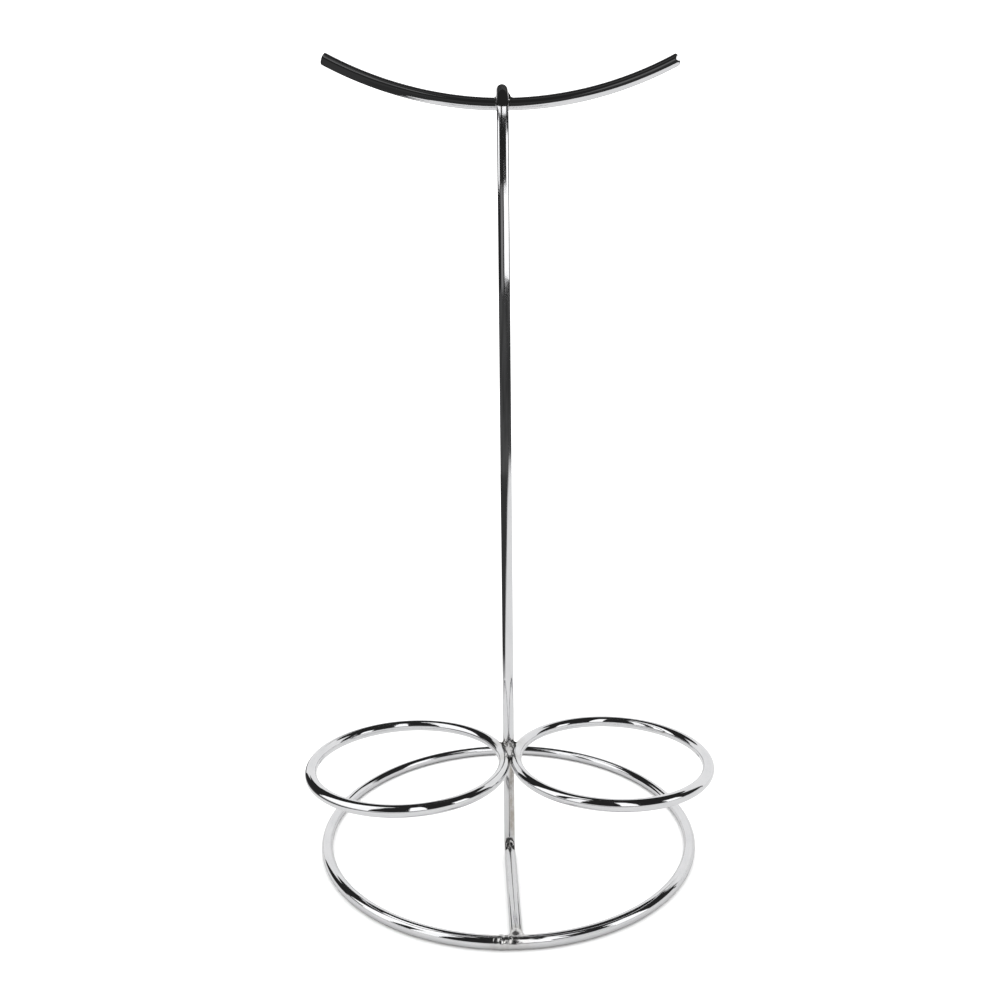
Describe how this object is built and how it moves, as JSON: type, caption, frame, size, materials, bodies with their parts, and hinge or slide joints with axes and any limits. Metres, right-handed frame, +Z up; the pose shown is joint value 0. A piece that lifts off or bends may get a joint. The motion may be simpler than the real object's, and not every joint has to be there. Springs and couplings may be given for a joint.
{
  "type": "wire cup-ring stand",
  "caption": "Free-standing chrome wire stand: round ring base, tall post with an upturned hanging bar on top, and cup rings side by side low on the post.",
  "frame": {"origin": "centre of the base ring, on the table that it rests on", "axes": "+Z up along the post; -Y towards the front, where the foot wire meets the base ring; the cup rings lie to -X and +X, and the hanging bar runs along X"},
  "size_m": [0.1678, 0.1678, 0.3347],
  "materials": {
    "wire_chrome": "bright chrome plate over round steel wire",
    "weld_chrome": "chrome plate over rippled weld metal, a little duller than the wire"
  },
  "bodies": {
    "root": {"base_ring": "wire_chrome", "post_wire": "wire_chrome", "left_cup_ring": "wire_chrome", "right_cup_ring": "wire_chrome", "hanging_bar": "wire_chrome", "base_ring_weld": "weld_chrome", "foot_weld": "weld_chrome", "cup_rings_weld": "weld_chrome", "left_cup_weld": "weld_chrome", "right_cup_weld": "weld_chrome", "hanging_bar_weld": "weld_chrome"}
  },
  "joints": []
}
